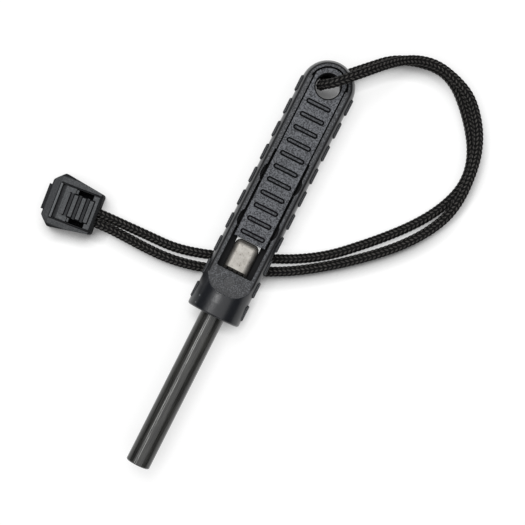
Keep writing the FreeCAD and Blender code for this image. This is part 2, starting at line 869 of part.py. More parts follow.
# Routes of the cord's two halves. A point is (x, y, lift above lying on the ground); both
# start at half depth in the lanyard hole and end inside the fitting.
FRONT_ROUTE = [
    (-2.5, 74.9, 8.7), (-2.5, 74.9, 16.6), (0.2, 77.0, 20.4), (4.6, 81.3, 21.4),
    (9.8, 86.3, 19.8), (14.8, 91.4, 15.4), (19.9, 96.4, 9.8), (26.2, 100.5, 6.0),
    (33.6, 102.2, 4.7), (42.1, 100.5, 4.5), (49.6, 97.4, 4.2), (55.2, 92.0, 3.8),
    (59.8, 85.4, 3.8), (62.8, 77.7, 4.2), (64.1, 69.3, 4.6), (64.5, 61.0, 4.4),
    (63.5, 53.1, 3.1), (60.4, 45.6, 1.0), (55.5, 38.0, 0.0), (49.0, 30.5, 0.0),
    (40.4, 22.4, 0.0), (30.5, 14.2, 0.0), (19.1, 6.2, 0.0), (7.0, 0.1, 0.0),
    (-4.4, -4.9, 0.0), (-15.1, -8.6, 0.0), (-25.3, -10.5, 0.0), (-35.0, -10.8, 0.0),
    (-44.4, -10.6, 0.2), (-53.9, -10.5, 1.6), (-63.6, -11.5, 1.6),
]
BACK_ROUTE = [
    (-2.5, 74.9, 8.7), (-2.5, 74.9, 2.9), (0.0, 76.8, 0.0), (5.2, 81.1, 0.0),
    (11.3, 88.3, 0.0), (17.7, 96.3, 0.0), (26.1, 100.8, 0.0), (35.6, 101.8, 0.0),
    (43.0, 98.9, 0.0), (49.2, 93.0, 0.0), (55.0, 86.5, 0.0), (60.1, 79.5, 0.0),
    (63.1, 72.2, 0.0), (63.3, 64.7, 0.0), (61.2, 57.3, 0.0), (57.5, 49.9, 0.0),
    (52.4, 42.5, 0.0), (46.0, 35.0, 0.0), (38.5, 27.1, 0.0), (29.6, 18.5, 0.0),
    (19.3, 11.6, 0.0), (7.8, 6.1, 0.0), (-3.9, 1.0, 0.0), (-15.1, -3.4, 0.0),
    (-25.3, -6.0, 0.0), (-35.0, -6.4, 0.0), (-44.4, -6.2, 0.2), (-54.4, -6.3, 1.6),
    (-64.1, -7.3, 1.6),
]
# Every bend takes this share of its shorter run on each side of its point.
BEND_SHARE = 0.45


def make_strand(name, route):
    """A smooth tube along straight runs that tangent arcs join."""
    radius = float(sizes["cord_radius"])
    points = [Vector(x, y, lift + radius) for x, y, lift in route]
    edges = []
    start = points[0]
    length = 0.0
    radii = []
    for before, corner, after in zip(points, points[1:], points[2:]):
        towards = (corner - before).normalize()
        onwards = (after - corner).normalize()
        turn = towards.getAngle(onwards)
        tangent = BEND_SHARE * min((corner - before).Length, (after - corner).Length)
        bend = tangent / math.tan(turn / 2)
        radii.append(bend)
        enter = corner - towards * tangent
        leave = corner + onwards * tangent
        inward = (onwards - towards).normalize()
        depth = math.hypot(tangent, bend) - bend
        edges.append(Part.LineSegment(start, enter).toShape())
        edges.append(Part.Arc(enter, corner + inward * depth, leave).toShape())
        length += (enter - start).Length + bend * turn
        start = leave
    edges.append(Part.LineSegment(start, points[-1]).toShape())
    length += (points[-1] - start).Length
    path = Part.Wire(edges)
    first_way = (points[1] - points[0]).normalize()
    ring = Part.Wire([Part.Circle(points[0], first_way, radius).toShape()])
    tube = path.makePipeShell([ring], True, False)
    strand = doc.addObject("Part::Feature", name)
    strand.Shape = tube
    strand.Label = name
    full = math.pi * radius * radius * length
    print(f"{name}: length {length:.1f}, volume {tube.Volume:.1f} of {full:.1f}")
    print("  bend radii " + " ".join(f"{value:.1f}" for value in radii))
    return strand


subparts = [
    make_handle(),
    make_pads("left", -1),
    make_pads("right", 1),
    make_rod(),
    make_striker_grip(),
    make_striker_blade(),
    make_strand("lanyard_strand_front", FRONT_ROUTE),
    make_strand("lanyard_strand_back", BACK_ROUTE),
    make_cord_end_shell(),
    make_cord_end_insert(),
]

doc.recompute()
faults = [thing.Name for thing in doc.Objects if {"Invalid", "Error"} & set(thing.State)]
if faults:
    raise RuntimeError(f"these objects failed: {faults}")
for piece in subparts:
    if piece.Shape.isNull() or not piece.Shape.isValid():
        raise RuntimeError(f"{piece.Label} has no valid shape")
for piece in subparts:
    piece.Shape.exportStep(f"parts/{piece.Label}.step")
    box = piece.Shape.BoundBox
    print(
        f"{piece.Label}: {len(piece.Shape.Solids)} solids, volume {piece.Shape.Volume:.1f}, "
        f"x {box.XMin:.2f} to {box.XMax:.2f}, y {box.YMin:.2f} to {box.YMax:.2f}, "
        f"z {box.ZMin:.2f} to {box.ZMax:.2f}"
    )
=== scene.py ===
import math

import bmesh
import bpy
from mathutils import Matrix, Vector


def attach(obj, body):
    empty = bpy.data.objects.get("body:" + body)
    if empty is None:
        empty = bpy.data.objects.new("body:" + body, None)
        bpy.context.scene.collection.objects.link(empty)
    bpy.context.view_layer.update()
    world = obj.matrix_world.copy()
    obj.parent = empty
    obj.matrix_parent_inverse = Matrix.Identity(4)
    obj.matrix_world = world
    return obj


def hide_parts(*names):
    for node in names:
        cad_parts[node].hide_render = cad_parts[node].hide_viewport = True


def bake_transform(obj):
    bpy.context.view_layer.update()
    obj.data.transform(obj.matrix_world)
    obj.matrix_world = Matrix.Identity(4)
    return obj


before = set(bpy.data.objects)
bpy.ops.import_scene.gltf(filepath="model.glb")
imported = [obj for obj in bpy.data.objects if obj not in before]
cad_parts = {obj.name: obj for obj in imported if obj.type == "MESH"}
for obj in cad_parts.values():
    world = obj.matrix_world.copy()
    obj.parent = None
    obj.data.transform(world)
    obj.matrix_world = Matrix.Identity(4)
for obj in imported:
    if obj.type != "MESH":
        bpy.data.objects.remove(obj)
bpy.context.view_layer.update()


# Camera: it looks straight down on the starter lying flat, turned so that the handle leans to
# the right as in the photograph. The picture is as wide as the photograph at the handle's axis.
MM = 0.001
AXIS_Z = 10.7
PHOTO_PIXELS = 525
PIXELS_PER_MM = 2.63
VIEW_SPOT = Vector((7.86, 4.48, 0.0)) * MM
CAMERA_HEIGHT = 660.7 * MM
CAMERA_TURN = math.radians(26.82)
CLIP_START = 10 * MM
SENSOR = 36.0

picture_width = PHOTO_PIXELS / PIXELS_PER_MM * MM
camera_data = bpy.data.cameras.new("camera")
camera_data.sensor_width = SENSOR
camera_data.lens = SENSOR * (CAMERA_HEIGHT - AXIS_Z * MM) / picture_width
camera_data.clip_start = CLIP_START
camera = bpy.data.objects.new("camera", camera_data)
camera.location = VIEW_SPOT + Vector((0, 0, CAMERA_HEIGHT))
camera.rotation_euler = (0, 0, CAMERA_TURN)
bpy.context.scene.collection.objects.link(camera)
bpy.context.scene.camera = camera
bpy.context.scene.view_settings.view_transform = "Standard"


# Lamps: a soft key beyond the top of the picture, a long narrow strip that draws the light
# line along the rod, and a broad panel overhead that every flat face mirrors, in a pale room.
KEY_WAY = math.radians(137)
KEY_TILT = math.radians(20)
KEY_SIZE = 0.36
KEY_POWER = 3.2
STRIP_WAY = math.radians(172)
STRIP_TILT = math.radians(22)
STRIP_WIDTH = 0.024
STRIP_LENGTH = 0.5
STRIP_POWER = 0.6
LAMP_DISTANCE = 0.95
PANEL_HEIGHT = 1.1
PANEL_SIZE = 2.1
PANEL_POWER = 20.5
ROOM_STRENGTH = 0.04


def add_lamp(name, way, tilt, distance, width, length, power):
    """A flat lamp that looks at the middle of the picture from a distance."""
    lamp = bpy.data.lights.new(name, "AREA")
    lamp.shape = "RECTANGLE"
    lamp.size = width
    lamp.size_y = length
    lamp.energy = power
    holder = bpy.data.objects.new(name, lamp)
    holder.matrix_world = (
        Matrix.Translation(VIEW_SPOT)
        @ Matrix.Rotation(way, 4, "Z")
        @ Matrix.Rotation(tilt, 4, "Y")
        @ Matrix.Translation((0, 0, distance))
    )
    bpy.context.scene.collection.objects.link(holder)


add_lamp("key", KEY_WAY, KEY_TILT, LAMP_DISTANCE, KEY_SIZE, KEY_SIZE, KEY_POWER)
add_lamp("strip", STRIP_WAY, STRIP_TILT, LAMP_DISTANCE, STRIP_WIDTH, STRIP_LENGTH, STRIP_POWER)
add_lamp("panel", 0.0, 0.0, PANEL_HEIGHT, PANEL_SIZE, PANEL_SIZE, PANEL_POWER)
room = bpy.data.worlds.new("room")
room.use_nodes = True
room.node_tree.nodes["Background"].inputs["Color"].default_value = (1, 1, 1, 1)
room.node_tree.nodes["Background"].inputs["Strength"].default_value = ROOM_STRENGTH
bpy.context.scene.world = room


# Table top: a plain white sheet that keeps the soft shadow. The camera sees it a little
# brighter than it is, as in a cut-out studio picture, but not close by on the side of each
# piece that is turned away from the key, nor at the bottom of the handle's hole. In those
# places a painted shadow also darkens the sheet's colour.
TABLE_SIZE = 3.0
TABLE_WHITE = (0.95, 0.95, 0.95, 1)
TABLE_SHADE = (0.1, 0.1, 0.1, 1)
TABLE_GLOW = 0.64
CONTACT_REACH = 6.5 * MM
CONTACT_TILT = math.radians(62)
CONTACT_DEPTH = 1.5
HOLLOW_REACHES = (4.5 * MM, 16 * MM)
HOLLOW_RANGE = (0.4, 0.75)
HOLLOW_DEPTH = 0.8


class Wire:
    """An output in a material's node tree, which ordinary arithmetic works on."""

    def __init__(self, socket):
        self.socket = socket

    def make(self, kind, settings, sockets, out=0):
        """Adds a node of any kind to the tree and gives one of its outputs."""
        node = self.socket.id_data.nodes.new(kind)
        for name, value in settings.items():
            setattr(node, name, value)
        for key, value in sockets.items():
            if isinstance(value, Wire):
                self.socket.id_data.links.new(value.socket, node.inputs[key])
            else:
                node.inputs[key].default_value = value
        return Wire(node.outputs[out])

    def feed(self, shader, name):
        self.socket.id_data.links.new(self.socket, shader.inputs[name])

    def math(self, operation, *values):
        """A step of arithmetic on the values given, or on this wire where none is."""
        values = values or (self,)
        return self.make("ShaderNodeMath", {"operation": operation}, dict(enumerate(values)))

    def __add__(self, other):
        return self.math("ADD", self, other)

    def __radd__(self, other):
        return self.math("ADD", other, self)

    def __sub__(self, other):
        return self.math("SUBTRACT", self, other)

    def __rsub__(self, other):
        return self.math("SUBTRACT", other, self)

    def __mul__(self, other):
        return self.math("MULTIPLY", self, other)

    def __rmul__(self, other):
        return self.math("MULTIPLY", other, self)

    def __truediv__(self, other):
        return self.math("DIVIDE", self, other)

    def __abs__(self):
        return self.math("ABSOLUTE")

    def least(self, other):
        return self.math("MINIMUM", self, other)

    def most(self, other):
        return self.math("MAXIMUM", self, other)

    def slant(self, other):
        """The long side of a right triangle that has this wire and another as its legs."""
        return (self * self + other * other).math("SQRT")

    def from_nearest(self, pitch, count):
        """How far it is past the nearest place of a row of them that starts at 0."""
        number = (self / pitch).math("ROUND").most(0.0).least(count - 1.0)
        return self - number * pitch

    def scaled(self, x, y, z):
        """A vector with each of its parts multiplied."""
        return self.make("ShaderNodeVectorMath", {"operation": "MULTIPLY"}, {0: self, 1: (x, y, z)})

    def part(self, index):
        return self.make("ShaderNodeSeparateXYZ", {}, {0: self}, index)

    def distance(self, x, y):
        """How far a place is from a line that stands up at x and y."""
        flat = self.scaled(1, 1, 0)
        return flat.make(
            "ShaderNodeVectorMath", {"operation": "DISTANCE"}, {0: flat, 1: (x, y, 0)}, 1
        )

    def rise(self, low, high):
        """Goes smoothly from 0 at low to 1 at high, or the other way where low is greater."""
        return self.make(
            "ShaderNodeMapRange",
            {"interpolation_type": "SMOOTHSTEP"},
            {"Value": self, "From Min": low, "From Max": high},
        )

    def within(self, low, high, soft=0.06):
        """Goes to 1 between low and high, over a soft margin at both."""
        return self.rise(low - soft, low + soft) * self.rise(high + soft, high - soft)

    def blend(self, first, second):
        """Mixes two colours, with this wire as the share of the second."""
        return self.make(
            "ShaderNodeMix", {"data_type": "RGBA"}, {0: self, 6: first, 7: second}, 2
        )

    def noise(self, scale, detail=2.0, roughness=0.5):
        return self.make(
            "ShaderNodeTexNoise",
            {},
            {"Vector": self, "Scale": scale, "Detail": detail, "Roughness": roughness},
        )

    def specks(self, scale):
        """A value from 0 to 1 for each of the small uneven grains that fill the space."""
        return self.make("ShaderNodeTexVoronoi", {}, {"Vector": self, "Scale": scale}, 1).part(0)

    def sky(self, reach, **sockets):
        """How open a spot lies within a reach, from 0 in a closed place to 1 in the open."""
        return self.make(
            "ShaderNodeAmbientOcclusion", {"samples": 16}, {"Distance": reach, **sockets}, 1
        )

    def soft_edges(self, radius):
        """The normal as it would be with the sharp edges rounded, by so many millimetres."""
        return self.make("ShaderNodeBevel", {"samples": 8}, {"Radius": radius * MM})

    def bump(self, height, **sockets):
        """The normal that a height in millimetres gives, with this wire's tree."""
        return self.make("ShaderNodeBump", {}, {"Height": height, "Distance": MM, **sockets})


def new_material(name, **constants):
    """A material, its shader, and a wire with the place on the object in millimetres."""
    material = bpy.data.materials.new(name)
    material.use_nodes = True
    tree = material.node_tree
    shader = tree.nodes["Principled BSDF"]
    for socket, value in constants.items():
        shader.inputs[socket.replace("_", " ")].default_value = value
    coordinates = Wire(tree.nodes.new("ShaderNodeTexCoord").outputs["Object"])
    return material, shader, coordinates.scaled(1 / MM, 1 / MM, 1 / MM)


table_mesh = bmesh.new()
bmesh.ops.create_grid(table_mesh, x_segments=1, y_segments=1, size=TABLE_SIZE / 2)
table_data = bpy.data.meshes.new("table")
table_mesh.to_mesh(table_data)
table_mesh.free()
table = bpy.data.objects.new("table", table_data)
bpy.context.scene.collection.objects.link(table)

table_material, table_shader, _ = new_material(
    "table_top", Roughness=0.9, Specular_IOR_Level=0.0
)
table_tree = table_material.node_tree
table_mix = table_tree.nodes.new("ShaderNodeMixShader")
table_glow = table_tree.nodes.new("ShaderNodeEmission")
rays = table_tree.nodes.new("ShaderNodeLightPath")
seen = Wire(rays.outputs["Is Camera Ray"])
for kind in ("Is Glossy Ray", "Is Transmission Ray"):
    seen = seen.most(Wire(rays.outputs[kind]))


def leaning(way):
    """A normal that leans over from upright, towards a way across the table."""
    return seen.make("ShaderNodeCombineXYZ", {}, {
        "X": math.sin(CONTACT_TILT) * math.cos(way),
        "Y": math.sin(CONTACT_TILT) * math.sin(way),
        "Z": math.cos(CONTACT_TILT),
    })


# Painted shadow: these turn the sheet's colour and glow down beside each piece, on the side away
# from the key, and at the bottom of the handle's hole.
facing_key = seen.sky(CONTACT_REACH, Normal=leaning(KEY_WAY))
facing_away = seen.sky(CONTACT_REACH, Normal=leaning(KEY_WAY + math.pi))
contact_shadow = (1.0 - facing_key) * facing_away
near_sky, far_sky = (seen.sky(reach) for reach in HOLLOW_REACHES)
hollow = (near_sky - far_sky).rise(*HOLLOW_RANGE)
openness = (1.0 - contact_shadow * CONTACT_DEPTH).most(0.0) * (1.0 - HOLLOW_DEPTH * hollow)
openness.blend(TABLE_SHADE, TABLE_WHITE).feed(table_shader, "Base Color")
(seen * openness * TABLE_GLOW).feed(table_mix, 0)
table_tree.links.new(table_shader.outputs[0], table_mix.inputs[1])
table_tree.links.new(table_glow.outputs[0], table_mix.inputs[2])
table_tree.links.new(table_mix.outputs[0], table_tree.nodes["Material Output"].inputs["Surface"])
table_data.materials.append(table_material)


# Lanyard: one cord of 4 mm with a braided sheath of eight columns of stitches, doubled
# through the handle's hole. Each half follows the route that the source gives its solid.
CORD_DIAMETER = 4.0 * MM
CORD_RADIUS = CORD_DIAMETER / 2
CORD_SIDES = 64
CORD_WELD = 0.001 * MM
BRAID_COLUMNS = 8
STITCH_LENGTH = 1.75 * MM
STITCH_LEAN = 0.8
STITCH_RELIEF = 0.42 * MM
STITCH_FULLNESS = (0.5, 0.6)
SPLINE_STEPS = 48
BRAID_GAP_SHADE = (0.0008, 0.0008, 0.0009, 1)
BRAID_THREAD = (0.056, 0.053, 0.050, 1)
THREAD_RANGE = (0.55, 0.9)
FLECK_SCALE = 1.1
FLECK_RANGE = (0.38, 0.6)
FLECK_LOSS = 0.45
FIBRE_SCALE = 9.0
FIBRE_DEPTH = 0.06
FRONT_ROUTE = [
    (-2.6, 74.5, 8.7), (-2.65, 74.25, 15.7), (0.55, 75.55, 20.3), (5.2, 80.2, 21.4),
    (10.2, 85.6, 19.8), (14.9, 91.2, 15.4), (19.9, 96.4, 9.8), (26.2, 100.5, 6.0),
    (33.6, 102.2, 4.7), (42.1, 100.5, 4.5), (49.6, 97.4, 4.2), (55.2, 92.0, 3.8),
    (59.8, 85.4, 3.8), (62.8, 77.7, 4.2), (64.1, 69.3, 4.6), (64.5, 61.0, 4.4),
    (63.5, 53.1, 3.1), (60.4, 45.6, 1.0), (55.5, 38.0, 0.0), (49.0, 30.5, 0.0),
    (40.4, 22.4, 0.0), (30.5, 14.2, 0.0), (19.1, 6.2, 0.0), (7.0, 0.1, 0.0),
    (-4.4, -4.9, 0.0), (-15.1, -8.6, 0.0), (-25.3, -10.5, 0.0), (-35.0, -10.8, 0.0),
    (-44.4, -10.5, 0.2), (-53.9, -10.45, 1.6), (-63.6, -11.5, 1.6),
]
BACK_ROUTE = [
    (-2.6, 74.5, 8.7), (-2.3, 77.8, 2.8), (0.4, 79.2, 0.0), (4.35, 84.0, 0.0),
    (10.4, 90.1, 0.0), (17.3, 96.9, 0.0), (26.2, 100.5, 0.0), (35.6, 101.8, 0.0),
    (43.1, 99.1, 0.0), (49.7, 93.4, 0.0), (55.5, 86.9, 0.0), (60.4, 79.7, 0.0),
    (63.1, 72.2, 0.0), (63.3, 64.7, 0.0), (61.2, 57.3, 0.0), (57.5, 49.9, 0.0),
    (52.4, 42.5, 0.0), (46.0, 35.0, 0.0), (38.5, 27.1, 0.0), (29.6, 18.5, 0.0),
    (19.3, 11.6, 0.0), (7.8, 6.1, 0.0), (-3.9, 1.0, 0.0), (-15.1, -3.3, 0.0),
    (-25.3, -5.8, 0.0), (-35.0, -6.15, 0.0), (-44.4, -6.5, 0.4), (-54.4, -6.9, 1.9),
    (-64.1, -7.5, 1.8),
]


def spline_points(name, route):
    """Points of a smooth spline through a route, read back from the curve itself."""
    curve = bpy.data.curves.new(f"{name}_route", "CURVE")
    curve.dimensions = "3D"
    curve.resolution_u = SPLINE_STEPS
    spline = curve.splines.new("NURBS")
    spline.points.add(len(route) - 1)
    for point, (x, y, lift) in zip(spline.points, route):
        point.co = (x * MM, y * MM, lift * MM + CORD_RADIUS, 1.0)
    spline.order_u = 3
    spline.use_endpoint_u = True
    holder = bpy.data.objects.new(f"{name}_route", curve)
    bpy.context.scene.collection.objects.link(holder)
    bpy.context.view_layer.update()
    line = bpy.data.meshes.new_from_object(holder)
    points = [vertex.co.copy() for vertex in line.vertices]
    bpy.data.objects.remove(holder)
    bpy.data.meshes.remove(line)
    return points


def stitch_height(turn, along):
    """How proud the braid stands, from 0 to 1, at a share of a turn and a length along."""
    column = turn * BRAID_COLUMNS
    across = column % 1 - 0.5
    lean = STITCH_LEAN if int(column) % 2 else -STITCH_LEAN
    phase = along / STITCH_LENGTH + across * lean
    wide, long = STITCH_FULLNESS
    return math.cos(math.pi * across) ** wide * abs(math.sin(math.pi * phase)) ** long


def braided_cord(name, points):
    """A tube along points whose skin rises and falls with the stitches of its braid."""
    rings = len(points)
    cord = bmesh.new()
    bmesh.ops.create_grid(
        cord, x_segments=CORD_SIDES, y_segments=rings - 1, size=0.5, calc_uvs=False
    )
    cord.verts.ensure_lookup_table()
    crown = cord.verts.layers.float.new("crown")
    along = 0.0
    tangent = (points[1] - points[0]).normalized()
    side = tangent.orthogonal().normalized()
    for ring, point in enumerate(points):
        before = points[max(ring - 1, 0)]
        after = points[min(ring + 1, rings - 1)]
        fresh = (after - before).normalized()
        side = tangent.rotation_difference(fresh) @ side
        tangent = fresh
        along += (point - before).length
        other = tangent.cross(side)
        for step in range(CORD_SIDES + 1):
            turn = step / CORD_SIDES % 1
            angle = 2 * math.pi * turn
            height = stitch_height(turn, along)
            vertex = cord.verts[ring * (CORD_SIDES + 1) + step]
            outward = side * math.cos(angle) + other * math.sin(angle)
            vertex.co = point + outward * (CORD_RADIUS - STITCH_RELIEF * (1 - height))
            vertex[crown] = height
    bmesh.ops.remove_doubles(cord, verts=cord.verts, dist=CORD_WELD)
    bmesh.ops.holes_fill(cord, edges=cord.edges, sides=0)
    bmesh.ops.recalc_face_normals(cord, faces=cord.faces)
    for face in cord.faces:
        face.smooth = True
    data = bpy.data.meshes.new(name)
    cord.to_mesh(data)
    cord.free()
    made = bpy.data.objects.new(name, data)
    bpy.context.scene.collection.objects.link(made)
    return made


cord_material, cord_shader, cord_place = new_material(
    "braided_sheath", Roughness=0.65, Specular_IOR_Level=0.12
)
crown_height = cord_place.make(
    "ShaderNodeAttribute", {"attribute_type": "GEOMETRY", "attribute_name": "crown"}, {}, 2
)
fleck = cord_place.noise(FLECK_SCALE).rise(*FLECK_RANGE)
# Painted shade: the valleys between the stitches are near black, the crowns have the thread's grey.
thread = crown_height.rise(*THREAD_RANGE) * (1.0 - FLECK_LOSS + FLECK_LOSS * fleck)
thread.blend(BRAID_GAP_SHADE, BRAID_THREAD).feed(cord_shader, "Base Color")
cord_place.bump(cord_place.noise(FIBRE_SCALE) * FIBRE_DEPTH).feed(cord_shader, "Normal")

for half, route in (("front", FRONT_ROUTE), ("back", BACK_ROUTE)):
    points = spline_points(half, route)
    strand = braided_cord(f"{half}_cord", points)
    strand.data.materials.append(cord_material)
    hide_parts(f"lanyard_strand_{half}")
    if half == "front":
        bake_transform(strand)
    else:
        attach(strand, "handle")


# Handle: one moulding of black glass-filled nylon. Its flat faces have a coarse sparked
# grain, its round flanks and collar are smooth, and a gate dimple lies beside the window.
# Painted shade darkens the channel and a line along each flank, and a painted highlight
# runs along the rim of the land where it meets the collar.
# A pair of values gives the places where a finish starts and where it is full.
LAND = 5.8
LAND_SKIN = (0.3, 0.1)
LAND_SIDE = (8.45, 8.15)
LAND_CORNER = Vector((1.55, -5.35))
LAND_RIM = (7.45, 7.7)
LAND_RIM_SOFT = 0.1
LAND_RIM_START = (0.5, 3.0)
LAND_RIM_HIGHLIGHT = 0.3
COLLAR_FADE = (-13.5, -7.5)
COLLAR_GRAIN = 0.5
DIMPLE = (0.0, -7.85)
DIMPLE_RIM = (2.1, 2.4)
DIMPLE_GRAIN = 0.4
HOLE_Y = 74.85
CHANNEL_SKIN = (10.2, 10.1)
CHANNEL_WALL = (0.8, 5.5)
CHANNEL_SOFT = 0.2
EDGE_LINE = (8.65, 9.25)
EDGE_LINE_SOFT = 0.12
EDGE_LINE_HEIGHT = (4.2, 4.8)
EDGE_LINE_END = (1.5, 0.0)
MOULD_SPOTS = ((-7.7, -17.1), (-7.9, -20.1))
MOULD_SPOT_RIM = (0.3, 0.15)
SPARKED_GRAIN = (1.6, 3.0, 0.65)
SPECK_SCALE = 2.7
SPECK_RANGE = (0.45, 1.0)
SMOOTH_LIGHT = 0.02
COARSE_LIGHT = 0.6
SMOOTH_ROUGHNESS = 0.28
COARSE_ROUGHNESS = 0.25
SHADE_ROUGHNESS = 0.6
SMOOTH_DEPTH = 0.03
COARSE_DEPTH = 0.07
HANDLE_EDGE = 0.35
NYLON_DARK = (0.0085, 0.0095, 0.012, 1)
NYLON_LIGHT = (0.115, 0.12, 0.132, 1)
NYLON_SHADE = (0.002, 0.0022, 0.003, 1)


def dress(node, material):
    """Gives a piece of the CAD its material."""
    bpy.data.objects[node].material_slots[0].material = material


handle_material, handle_shader, handle_place = new_material(
    "handle_nylon", Specular_IOR_Level=0.42
)
handle_grain = handle_place.noise(*SPARKED_GRAIN)
handle_specks = handle_place.specks(SPECK_SCALE)
handle_side = handle_place.part(0)
handle_along = handle_place.part(1)
handle_up = handle_place.part(2) - AXIS_Z
on_land = abs(abs(handle_up) - LAND).rise(*LAND_SKIN) * abs(handle_side).rise(*LAND_SIDE)
off_dimple = handle_place.distance(*DIMPLE).rise(*DIMPLE_RIM)
off_collar = handle_along.rise(*COLLAR_FADE)
coarse = on_land * (DIMPLE_GRAIN + (1 - DIMPLE_GRAIN) * off_dimple)
coarse = coarse * (COLLAR_GRAIN + (1 - COLLAR_GRAIN) * off_collar)
land_x = (abs(handle_side) - LAND_CORNER.x).most(0.0)
land_y = (LAND_CORNER.y - handle_along).most(0.0)
# Painted highlight: a light line along the rim of the land where it meets the collar.
land_rim_highlight = land_x.slant(land_y).within(*LAND_RIM, LAND_RIM_SOFT) * land_y.rise(*LAND_RIM_START)
past_hole = (handle_along - HOLE_Y).most(0.0)
from_middle = handle_side.slant(past_hole)
in_channel = from_middle.slant(handle_up).rise(*CHANNEL_SKIN)
in_channel = in_channel * handle_up.within(*CHANNEL_WALL, CHANNEL_SOFT)
flank_shade_line = from_middle.within(*EDGE_LINE, EDGE_LINE_SOFT) * abs(handle_up).rise(*EDGE_LINE_HEIGHT)
flank_shade_line = flank_shade_line * land_y.rise(*EDGE_LINE_END)
one_spot, other_spot = (handle_place.distance(*spot) for spot in MOULD_SPOTS)
mould_spots = one_spot.least(other_spot).rise(*MOULD_SPOT_RIM)
handle_light = handle_specks.rise(*SPECK_RANGE) * (SMOOTH_LIGHT + COARSE_LIGHT * coarse)
handle_light = handle_light.most(LAND_RIM_HIGHLIGHT * land_rim_highlight).most(mould_spots)
handle_skin = handle_light.blend(NYLON_DARK, NYLON_LIGHT)
# Painted shade: the channel's walls and floor, and the dark line along each flank.
shaded = in_channel.most(flank_shade_line)
shaded.blend(handle_skin, NYLON_SHADE).feed(handle_shader, "Base Color")
handle_roughness = SMOOTH_ROUGHNESS + COARSE_ROUGHNESS * coarse + SHADE_ROUGHNESS * shaded
handle_roughness.feed(handle_shader, "Roughness")
handle_place.bump(
    handle_grain * (SMOOTH_DEPTH + COARSE_DEPTH * coarse),
    Normal=handle_place.soft_edges(HANDLE_EDGE),
).feed(handle_shader, "Normal")
dress("handle_body", handle_material)


# Grip pads: a softer, duller black with fine moulded lines that run along the handle. Painted
# shade darkens the root where each one leaves the handle, and its ends.
PADS = 10
FIRST_PAD = -15.85
PAD_PITCH = 9.72
PAD_END = (2.85, 3.1)
PAD_ROOT = (10.65, 10.45)
PAD_LINE_PITCH = 0.46
PAD_LINE_SLANT = 0.4
PAD_LINE_RANGE = (-0.5, 0.7)
PAD_LINE_DEPTH = 0.05
PAD_GROOVE = (0.008, 0.0085, 0.010, 1)
PAD_LIGHT = (0.06, 0.063, 0.069, 1)

pad_material, pad_shader, pad_place = new_material("pad_rubber", Roughness=0.75)
pad_side = abs(pad_place.part(0))
pad_up = pad_place.part(2) - AXIS_Z
pad_lines = (pad_side + abs(pad_up) * PAD_LINE_SLANT) * (2 * math.pi / PAD_LINE_PITCH)
pad_lines = pad_lines.math("SINE")
pad_along = pad_place.part(1) - FIRST_PAD
# Painted shade at the ends of each pad and at its root.
pad_end_shade = abs(pad_along.from_nearest(PAD_PITCH, PADS)).rise(*PAD_END)
pad_root_shade = pad_side.slant(pad_up).rise(*PAD_ROOT).most(pad_end_shade)
pad_skin = pad_lines.rise(*PAD_LINE_RANGE).blend(PAD_GROOVE, PAD_LIGHT)
pad_root_shade.blend(pad_skin, NYLON_SHADE).feed(pad_shader, "Base Color")
pad_place.bump(pad_lines * PAD_LINE_DEPTH).feed(pad_shader, "Normal")
for side in ("left", "right"):
    dress(f"grip_pads_{side}", pad_material)


# Striker strip: the same nylon as the handle, moulded round the blade's tang and snapped into
# the channel. Painted shade darkens outlines round its raised ribs, its sides along the
# channel and the rim of its eye.
RIBS = 11
FIRST_RIB = 11.85
RIB_PITCH = 5.5
RIB_STRAIGHT = 4.05
RIB_OUTLINE = (0.38, 1.04)
RIB_TOP = (0.3, 0.8)
RIB_LOSS = 0.4
STRIP_SIDE = (6.25, 6.4)
EYE_RIM = (5.28, 5.16)
STRIP_LIGHT = (0.12, 0.9)
STRIP_SPECK_RANGE = (0.1, 0.9)
STRIP_DEPTH = 0.1
STRIP_EDGE = 0.25
DULL_ROUGHNESS = 0.5
OUTLINE_ROUGHNESS = 0.45

strip_material, strip_shader, strip_place = new_material(
    "strip_nylon", Specular_IOR_Level=0.2
)
strip_side = abs(strip_place.part(0))
strip_along = strip_place.part(1) - FIRST_RIB
past_straight = (strip_side - RIB_STRAIGHT).most(0.0)
from_rib = past_straight.slant(strip_along.from_nearest(RIB_PITCH, RIBS))
# Painted shade: outlines round the ribs, along the strip's sides and round its eye.
strip_outline_shade = from_rib.within(*RIB_OUTLINE).most(strip_side.rise(*STRIP_SIDE))
strip_outline_shade = strip_outline_shade.most(strip_place.distance(0.0, HOLE_Y).rise(*EYE_RIM))
plain, sparked = STRIP_LIGHT
strip_light = plain + sparked * strip_place.specks(SPECK_SCALE).rise(*STRIP_SPECK_RANGE)
strip_light = strip_light * (1.0 - RIB_LOSS + RIB_LOSS * from_rib.rise(*RIB_TOP))
strip_skin = strip_light.blend(NYLON_DARK, NYLON_LIGHT)
strip_outline_shade.blend(strip_skin, NYLON_SHADE).feed(strip_shader, "Base Color")
(DULL_ROUGHNESS + OUTLINE_ROUGHNESS * strip_outline_shade).feed(strip_shader, "Roughness")
strip_place.bump(
    strip_place.noise(*SPARKED_GRAIN) * STRIP_DEPTH,
    Normal=strip_place.soft_edges(STRIP_EDGE),
).feed(strip_shader, "Normal")
dress("striker_grip", strip_material)


